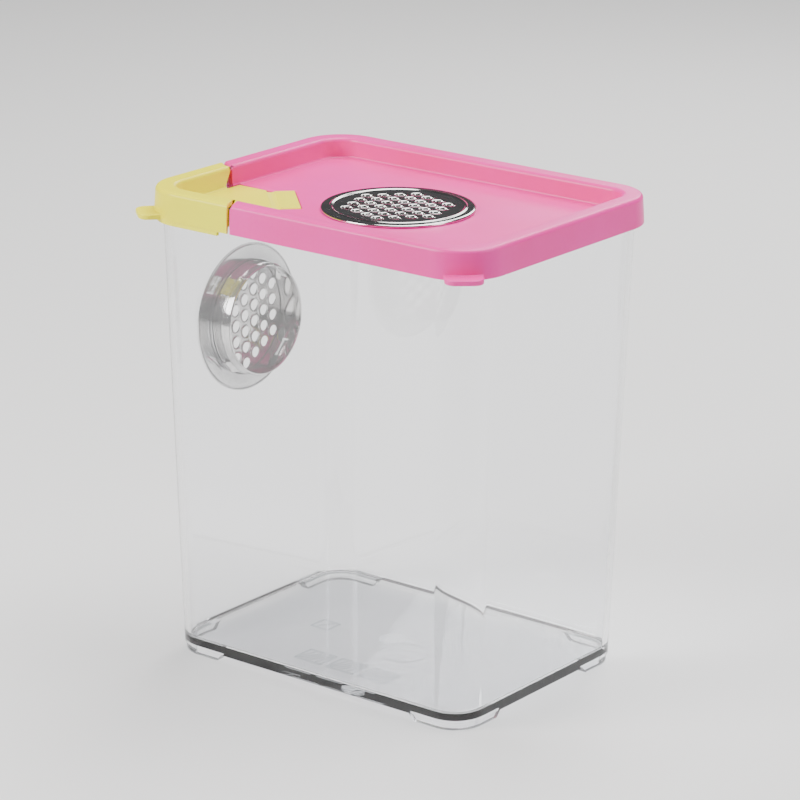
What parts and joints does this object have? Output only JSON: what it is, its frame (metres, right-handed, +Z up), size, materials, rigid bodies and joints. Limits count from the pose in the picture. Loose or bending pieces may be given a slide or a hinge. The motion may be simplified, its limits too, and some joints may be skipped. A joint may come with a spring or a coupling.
{
  "type": "insect holding box",
  "caption": "Clear box on corner feet with a soft push-on lid, a corner spout cap on a living hinge, and round perforated steel vents in the lid and in an end wall.",
  "frame": {"origin": "centre of the whole object's footprint, thumb tabs counted, on the plane the corner feet stand on", "axes": "+Z up. +X along the box's long side, away from the vented end wall. +Y to the back, away from the thumb tabs; the spout cap is at the -X -Y corner"},
  "size_m": [0.1238, 0.0948, 0.1428],
  "materials": {
    "clear_styrene": "clear polished moulded polystyrene",
    "pink_polyethylene": "soft satin moulded polyethylene",
    "yellow_polyethylene": "soft satin moulded polyethylene",
    "stainless_sheet": "bright polished stainless sheet"
  },
  "bodies": {
    "box": {"container": "clear_styrene", "side_vent_barrel": "stainless_sheet", "side_vent_face": "stainless_sheet"},
    "lid": {"lid": "pink_polyethylene", "lid_vent_barrel": "stainless_sheet", "lid_vent_face": "stainless_sheet", "spout_cap_hinge": "yellow_polyethylene", "spout_cap_anchor": "yellow_polyethylene"},
    "spout_cap": {"spout_cap": "yellow_polyethylene"}
  },
  "joints": [
    {"name": "lid_lift", "type": "slide", "parent": "box", "child": "lid", "axis": [0, 0, 1], "range_m": [0, 0.05]},
    {"name": "spout_cap_swing", "type": "hinge", "parent": "lid", "child": "spout_cap", "pos_m": [-0.03402, -0.01401, 0.13635], "axis": [-0.7071, 0.7071, 0], "range_deg": [0, 135], "deforming": ["spout_cap_hinge"]}
  ]
}
